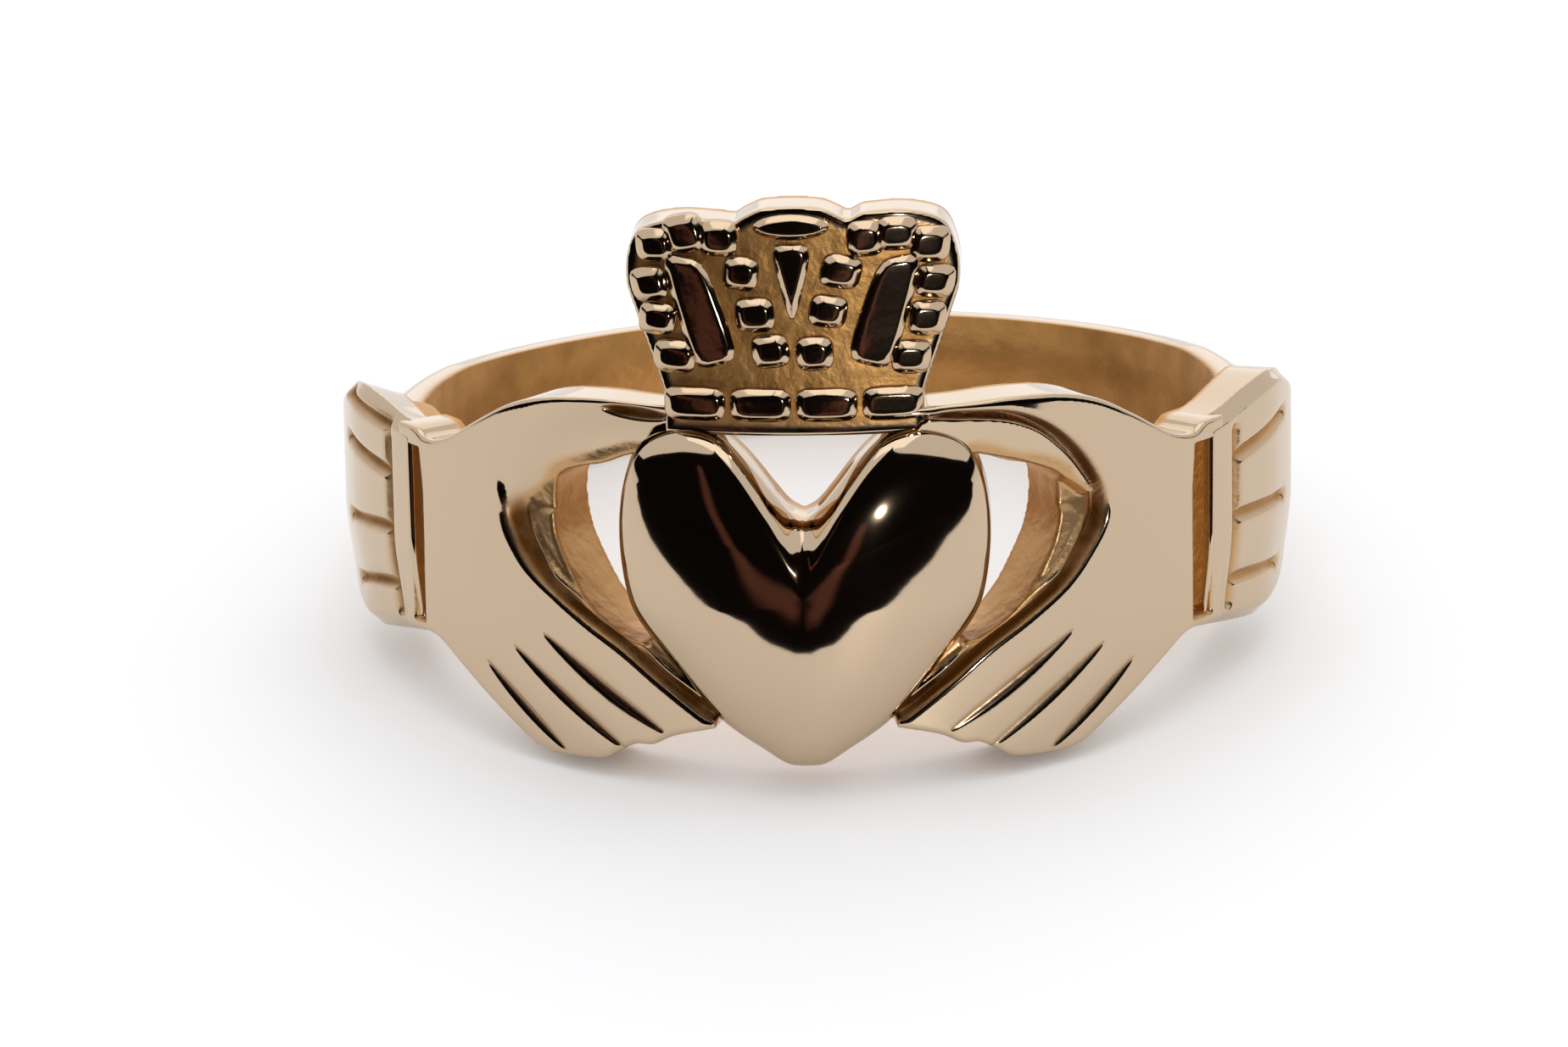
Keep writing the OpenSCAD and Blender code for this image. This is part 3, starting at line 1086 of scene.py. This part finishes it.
@dataclass
class Crown:
    """The crown: a plate with a scalloped top, and raised beads, bars, a drop and four pads.

    The tables give shares of half the width and of the height, and bead_h is a share of bead_w.
    The rim steps are the shares of a relief's rim by which it is drawn in and by which it lies
    below the top.
    """

    width: float = 6.86
    height: float = 4.75
    low: float = 2.9
    off_centre: float = -0.15
    wall: float = 1.5
    clear: float = 0.3
    edge_w: float = 0.09
    edge_d: float = 0.08
    upper_share: float = 0.8
    ground_at: Span = (0.1, 0.3)
    cast_at: Span = (0.7, 0.4)
    relief: float = 0.28
    relief_foot: float = 0.12
    relief_dark: float = 0.4
    relief_rough: float = 0.1
    bead_w: float = 0.83
    bead_h: float = 0.9
    bead_rim: float = 0.2
    bead_tilt: float = 0.25
    bead_change: float = 0.09
    bead_shift: float = 0.045
    bead_square: float = 4.0
    bead_steps: int = 24
    seed: int = 8
    top_bead: Span = (0.23, 0.115)
    top_spot: Span = (0.0, 0.93)
    bar_rim: float = 0.16
    pads: int = 4
    pad_pitch: float = 0.198
    pad_spot: float = 0.145
    pad_half: Span = (0.47, 0.077)
    pad_rim: float = 0.18
    right_rise: float = 0.16
    right_rise_at: Span = (1.0, 1.5)
    top_at: Span = (0.8, 0.93)
    face: float = 0.05
    half: Table = (
        (0.78, 0), (0.78, 0.10), (0.79, 0.20), (0.87, 0.37), (0.945, 0.53), (1.00, 0.66), (0.99, 0.79),
        (0.93, 0.885), (0.82, 0.93), (0.64, 0.955), (0.44, 0.95), (0.34, 0.945), (0.285, 0.97),
        (0.17, 1.005), (0, 1.013))
    beads: Table = (
        (0.715, 0.345), (0.80, 0.51), (0.85, 0.675), (0.815, 0.845), (0.63, 0.895), (0.44, 0.88),
        (0.30, 0.725), (0.215, 0.55), (0.14, 0.375))
    bar: Table = ((0.80, 0.81), (0.515, 0.785), (0.305, 0.345), (0.595, 0.285))
    drop: Table = ((-0.14, 0.86), (0, 0.46), (0.14, 0.86))
    rim_steps: Table = (
        (0, 0.82), (0.03, 0.74), (0.12, 0.66), (0.68, 0.16), (0.80, 0.06), (0.92, 0.01), (1.05, 0),
        (1.5, 0))

    def place(self, table: Table) -> np.ndarray:
        """Turns shares of half the width and of the height into millimetres."""
        return np.asarray(table) * (self.width / 2, self.height) + (0, self.low)

    def shifted(self, flat: np.ndarray) -> np.ndarray:
        """Moves flat points to the crown's place, a little off the middle of the heart."""
        return drape(flat + (self.off_centre, 0, 0))

    def outline(self) -> np.ndarray:
        """Draws the crown's outline, whose top rises a little at the right.

        Returns:
            The outline, anticlockwise seen from the front.
        """
        half = smooth_line(self.place(self.half), steps=5)
        outline = np.vstack([half, half[-2::-1] * (-1, 1)])
        share = (outline[:, 1] - self.low) / self.height
        at_right = ramp(outline[:, 0], self.right_rise_at)
        outline[:, 1] += self.right_rise * ramp(share, self.top_at) * at_right
        return outline

    def plate(self) -> bpy.types.Object:
        """Cuts the crown's plate out flat and rounds its edge over.

        Returns:
            The plate.
        """
        outline = self.outline()
        plate = flat_plate("crown", outline, self.clear, self.wall)
        even_mesh(plate, self.face)
        co = corners(plate)
        edge = depth_within(co[:, :2], outline)
        upper_face = co[:, 2] > self.upper_share * self.wall
        drop = self.edge_d * round_over(edge, self.edge_w)
        co[:, 2] = self.clear + (co[:, 2] - self.clear) * (1 - drop / (self.wall - self.clear))
        ground = ramp(edge, self.ground_at) * upper_face
        mark(plate, "tarnish_and_shade", np.zeros(len(co)))
        mark(plate, "cast", np.maximum(ground, ramp(co[:, 2], self.cast_at)))
        put_corners(plate, self.shifted(co))
        dress(plate)
        return settle(plate)

    def pillow(self, name: str, rim: float, outline: Outline) -> bpy.types.Object:
        """Raises one piece of relief: a flat top inside a chamfered rim.

        Args:
            name: The new object's name.
            rim: The rim's width.
            outline: Gives the piece's outline, anticlockwise, drawn in by a distance.

        Returns:
            The raised piece, flat.
        """
        top = self.wall + self.relief
        rings = [at_height(outline(inset * rim), top - fall * rim) for inset, fall in self.rim_steps]
        foot = at_height(rings[0][:, :2], self.wall - self.relief_foot)
        return loft(name, [foot, *rings])

    def bead_outlines(self) -> list[Outline]:
        """Draws the rows of beads, each a little uneven in turn, size and place.

        Returns:
            The outline of each bead, left and right in turn.
        """
        power = self.bead_square
        circle = circle_points(self.bead_steps)
        square = circle / ((np.abs(circle) ** power).sum(1)[:, None]) ** (1 / power)
        chance = np.random.default_rng(self.seed)
        result = []
        for spot in self.place(self.beads):
            for side in (-1, 1):
                tilt, wide, high, *moved = chance.uniform(-1, 1, 5)
                c, s = math.cos(self.bead_tilt * tilt), math.sin(self.bead_tilt * tilt)
                wide, high = 1 + self.bead_change * wide, self.bead_h * (1 + self.bead_change * high)
                middle = spot * (side, 1) + self.bead_shift * np.array(moved)
                turned = square @ np.array([[c, s], [-s, c]])
                result.append(blob(turned, (self.bead_w * wide, self.bead_w * high), middle))
        return result

    def bar_outlines(self) -> list[Outline]:
        """Draws the two bars, the drop between them and the bead on top.

        Returns:
            The outline of each.
        """
        bar = self.place(self.bar)
        size = (self.top_bead[0] * self.width, self.top_bead[1] * self.height)
        top = blob(circle_points(self.bead_steps), size, self.place([self.top_spot])[0])
        return [facet(bar), facet(bar[::-1] * (-1, 1)), facet(self.place(self.drop)), top]

    def pad_outlines(self) -> list[Outline]:
        """Draws the pads along the crown's foot.

        Returns:
            The outline of each pad, from left to right.
        """
        pitch = self.pad_pitch * self.width
        z = self.low + self.pad_spot * self.height
        w, h = self.pad_half[0] * pitch, self.pad_half[1] * self.height
        corner_spots = np.array([(-w, -h), (w, -h), (w, h), (-w, h)])
        middles = [(i - (self.pads - 1) / 2) * pitch for i in range(self.pads)]
        return [facet(corner_spots + (x, z)) for x in middles]

    def relief_pieces(self) -> bpy.types.Object:
        """Raises all the relief and joins it.

        Returns:
            The relief as one piece.
        """
        groups = (
            (self.bead_rim, self.bead_outlines()),
            (self.bar_rim, self.bar_outlines()),
            (self.pad_rim, self.pad_outlines()))
        shapes = [(rim, outline) for rim, outlines in groups for outline in outlines]
        pieces = [self.pillow(f"relief_{i}", *shape) for i, shape in enumerate(shapes)]
        bpy.ops.object.select_all(action="DESELECT")
        for piece in pieces:
            piece.select_set(True)
        bpy.context.view_layer.objects.active = pieces[0]
        bpy.ops.object.join()
        relief = bpy.context.object
        relief.name = "crown_relief"
        apply_modifier(relief, "SMOOTH", factor=0.5, iterations=2)
        co = corners(relief)
        half_way = (self.wall + 0.5 * self.relief, self.wall)
        # Patina and painted shade, darker towards each relief's foot where it meets the plate.
        mark(relief, "tarnish_and_shade", self.relief_dark * ramp(co[:, 2], half_way))
        mark(relief, "cast", np.full(len(co), self.relief_rough))
        put_corners(relief, self.shifted(co))
        dress(relief)
        return settle(relief)

    def build(self) -> list[bpy.types.Object]:
        """Builds the plate and what stands up from it."""
        return [self.plate(), self.relief_pieces()]


def circle_points(count: int) -> np.ndarray:
    """Points on a circle of radius 1."""
    turn = np.linspace(0, 2 * math.pi, count, endpoint=False)
    return np.column_stack([np.cos(turn), np.sin(turn)])


def blob(shape: np.ndarray, size: Span, spot: np.ndarray) -> Outline:
    """Draws a shape of a width and height round a spot, to be drawn in by any distance."""
    return lambda inset: shape * (size[0] / 2 - inset, size[1] / 2 - inset) + spot


def facet(corner_spots: np.ndarray) -> Outline:
    """Draws a shape with straight sides and blunt corners, to be drawn in by any distance."""
    return lambda inset: rounded(drawn_in(corner_spots, inset))


def drawn_in(outline: np.ndarray, distance: float) -> np.ndarray:
    """Draws each side of an outline in by a distance.

    Args:
        outline: The outline's corners, anticlockwise.
        distance: How far each side moves.

    Returns:
        The new corners, as many as before.
    """
    p = np.asarray(outline, float)
    along = np.roll(p, -1, 0) - p
    normal = np.column_stack([-along[:, 1], along[:, 0]]) / np.hypot(*along.T)[:, None]
    before = np.roll(normal, 1, 0)
    return p + distance * (normal + before) / (1 + (normal * before).sum(1))[:, None]


def rounded(outline: np.ndarray, passes: int = 2, cut: float = 0.15) -> np.ndarray:
    """Takes the corners off an outline.

    Args:
        outline: The outline's corners.
        passes: How many times each corner is cut.
        cut: Share of each side that a cut takes at either end.

    Returns:
        The new corners, twice as many for each pass.
    """
    p = np.asarray(outline, float)
    for _ in range(passes):
        after = np.roll(p, -1, 0)
        p = np.stack([(1 - cut) * p + cut * after, cut * p + (1 - cut) * after], 1).reshape(-1, 2)
    return p


@dataclass(frozen=True)
class Lamp:
    """One square light that faces the ring. Its place and size are in metres."""

    name: str
    place: Place
    size: float
    watts: float
    shadows: bool = True

    def hang(self) -> None:
        """Hangs the light, which the camera doesn't see."""
        data = bpy.data.lights.new(self.name, "AREA")
        data.shape = "SQUARE"
        data.size = self.size
        data.energy = self.watts
        data.use_shadow = self.shadows
        light = bpy.data.objects.new(self.name, data)
        light.visible_camera = False
        bpy.context.scene.collection.objects.link(light)
        back = np.array(self.place) / np.linalg.norm(self.place)
        right = np.cross((0, 0, 1), back)
        right /= np.linalg.norm(right)
        turned = np.column_stack([right, np.cross(back, right), back])
        light.matrix_world = placed(turned, self.place)


def placed(turned: np.ndarray, spot: Sequence[float]) -> Matrix:
    """Makes the matrix that turns an object and moves it to a spot."""
    return Matrix([(*row, x) for row, x in zip(turned, spot)] + [(0, 0, 0, 1)])


@dataclass
class Studio:
    """The pale floor, the soft lights, the dark cloth round the ring's front and the camera.

    The tables give angles in degrees seen from the ring, 0 at the camera's side. The hem's
    distances are in millimetres. The folds are painted highlights, lighter streaks on the cloth,
    and each one's points are its direction and its height.
    """

    distance: float = 160.0
    elevation: float = 14.5
    turn: float = 2.4
    roll: float = 1.0
    pixels_per_mm: float = 53.7
    centre: Span = (967.0, 536.0)
    photo: tuple[int, int] = (1849, 1235)
    sensor: float = 36.0
    floor_size: float = 4.0
    floor_colour: Colour = (0.92, 0.92, 0.92)
    floor_roughness: float = 0.7
    sky_colour: Colour = (0.97, 0.98, 1.0)
    sky_strength: float = 0.92
    lamps: Sequence[Lamp] = (
        Lamp("overhead", (0.01, 0.03, 0.30), 0.26, 0.16),
        Lamp("behind", (0.0, 0.60, 0.22), 0.70, 0.7),
        Lamp("front", (0.077, -0.182, 0.043), 0.004, 0.12, shadows=False))
    cloth_r: float = 0.22
    cloth_clear: float = 0.0003
    cloth_half_turn: float = 88.0
    cloth_wings: float = 22.0
    cloth_faces: tuple[int, int] = (180, 120)
    cloth_colour: Colour = (0.004, 0.003, 0.003)
    cloth_hem: Table = (
        (-88, 110), (-80, 60), (-70, 42), (-60, 35), (-45, 31), (-30, 28), (-20, 25.5), (-8, 24.5),
        (8, 25), (20, 30), (32, 35), (44, 38), (54, 45), (62, 46), (72, 48), (80, 60), (88, 110))
    cloth_top: Table = (
        (-110, 10), (-90, 12), (-75, 26), (-60, 38), (-45, 49), (-30, 58), (-12, 68), (0, 76), (12, 67),
        (30, 54), (45, 42), (60, 30), (75, 17), (90, 9), (110, 9))
    fold_highlights: Sequence[Table] = (
        ((-38, 34), (-32, 9), (-19, -8), (-5, -11.5)),
        ((2, -12.5), (11, -2), (15, 9)))
    # Painted highlights on the cloth: their width in degrees and their colour.
    fold_highlight_w: float = 2.4
    fold_highlight_colour: Colour = (0.09, 0.038, 0.03)
    eye_height: float = 0.01

    def floor(self) -> None:
        """Lays the pale floor under the ring's lowest point."""
        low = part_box("ring")[0].z
        bpy.ops.object.select_all(action="DESELECT")
        bpy.ops.mesh.primitive_plane_add(size=self.floor_size, location=(0, 0, low))
        floor = bpy.context.object
        floor.name = "floor"
        finish = FinishNodes("pale_floor")
        finish.set("Base Color", self.floor_colour)
        finish.set("Roughness", self.floor_roughness)
        floor.data.materials.append(finish.material)

    def hung(self, grid: np.ndarray) -> tuple[np.ndarray, np.ndarray]:
        """Works out how the dark cloth hangs.

        Args:
            grid: The points of a square grid from -1 to 1.

        Returns:
            The place of each point, and its direction and height in degrees seen from the heart.
        """
        # The lowest third lies on the floor with its hem near the ring, and the rest rises all round
        share = (grid[:, 1] + 1) / 2
        flat, raised = np.clip(share * 3, 0, 1), np.clip(share * 1.5 - 0.5, 0, 1)
        turned = grid[:, 0] * (self.cloth_half_turn + self.cloth_wings * ease(raised * 3))
        angle = np.radians(turned)
        hem = np.interp(turned, *np.transpose(self.cloth_hem)) * MM
        away = hem + (self.cloth_r - hem) * flat
        lift = np.radians(np.interp(turned, *np.transpose(self.cloth_top))) * raised
        x = away * np.sin(angle) * np.cos(lift)
        y = -away * np.cos(angle) * np.cos(lift)
        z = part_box("ring")[0].z + self.cloth_clear + away * np.sin(lift)
        # The heart looks down on the part that lies on the floor
        below = np.where(raised > 0, 0, np.arctan(self.eye_height / away))
        return np.column_stack([x, y, z]), np.column_stack([turned, np.degrees(lift - below)])

    def dark_cloth(self) -> None:
        """Hangs a dark cloth round the front of the ring, seen only in its reflections, with lighter
        streaks painted on it as highlights.
        """
        bpy.ops.object.select_all(action="DESELECT")
        across, up = self.cloth_faces
        bpy.ops.mesh.primitive_grid_add(x_subdivisions=across, y_subdivisions=up, size=2)
        cloth = bpy.context.object
        cloth.name = "dark_cloth"
        places, sight = self.hung(corners(cloth))
        put_corners(cloth, places)
        lit = np.zeros(len(places))
        # Lighter streaks painted on the cloth as highlights, showing brown in the ring's dark reflections.
        for fold_highlight in self.fold_highlights:
            near = nearness(sight, smooth_line(fold_highlight))
            lit = np.maximum(lit, np.exp(-((near.distance / self.fold_highlight_w) ** 4)))
        mark(cloth, "fold_highlight", lit)
        finish = FinishNodes("dark_cloth")
        finish.set("Base Color", finish.mix(finish.marked("fold_highlight"), self.cloth_colour, self.fold_highlight_colour))
        finish.set("Roughness", 1)
        finish.set("Specular IOR Level", 0)
        cloth.data.materials.append(finish.material)
        cloth.visible_camera = False
        cloth.visible_diffuse = False
        cloth.visible_shadow = False

    def lights(self) -> None:
        """Sets the pale surroundings and the soft lights."""
        world = bpy.data.worlds.new("studio")
        world.use_nodes = True
        background = world.node_tree.nodes["Background"]
        background.inputs["Color"].default_value = (*self.sky_colour, 1)
        background.inputs["Strength"].default_value = self.sky_strength
        bpy.context.scene.world = world
        for lamp in self.lamps:
            lamp.hang()

    def camera(self) -> None:
        """Sets the camera at the photograph's angle to the ring."""
        e, a, r = (math.radians(x) for x in (self.elevation, self.turn, self.roll))
        back = np.array([math.sin(a) * math.cos(e), -math.cos(a) * math.cos(e), math.sin(e)])
        level = np.array([math.cos(a), math.sin(a), 0.0])
        upright = np.cross(back, level)
        right = math.cos(r) * level - math.sin(r) * upright
        up = math.sin(r) * level + math.cos(r) * upright
        w, h = self.photo
        target = (h / 2 - self.centre[1]) * -up - (self.centre[0] - w / 2) * right
        place = target / self.pixels_per_mm + self.distance * back
        c, s = math.cos(SIZES.lean), math.sin(SIZES.lean)
        leaned = np.array([[1, 0, 0], [0, c, s], [0, -s, c]])
        turned = leaned @ np.column_stack([right, up, back])
        spot = leaned @ place * MM
        data = bpy.data.cameras.new("camera")
        data.sensor_fit = "HORIZONTAL"
        data.sensor_width = self.sensor
        data.lens = self.distance * self.pixels_per_mm * self.sensor / w
        data.clip_start = MM
        camera = bpy.data.objects.new("camera", data)
        bpy.context.scene.collection.objects.link(camera)
        camera.matrix_world = placed(turned, spot)
        bpy.context.scene.camera = camera

    def build(self) -> None:
        """Sets the whole stage."""
        self.floor()
        self.dark_cloth()
        self.lights()
        self.camera()
        bpy.context.scene.view_settings.view_transform = "Standard"


def main() -> None:
    """Sets the stage and builds the ring piece by piece."""
    logging.basicConfig(level=logging.INFO, format="%(name)s: %(message)s")
    Studio().build()
    Band().build()
    for side in Side:
        Cuff(side).build()
        Hand(side).build()
    Heart().build()
    Crown().build()


if __name__ == "__main__":
    main()
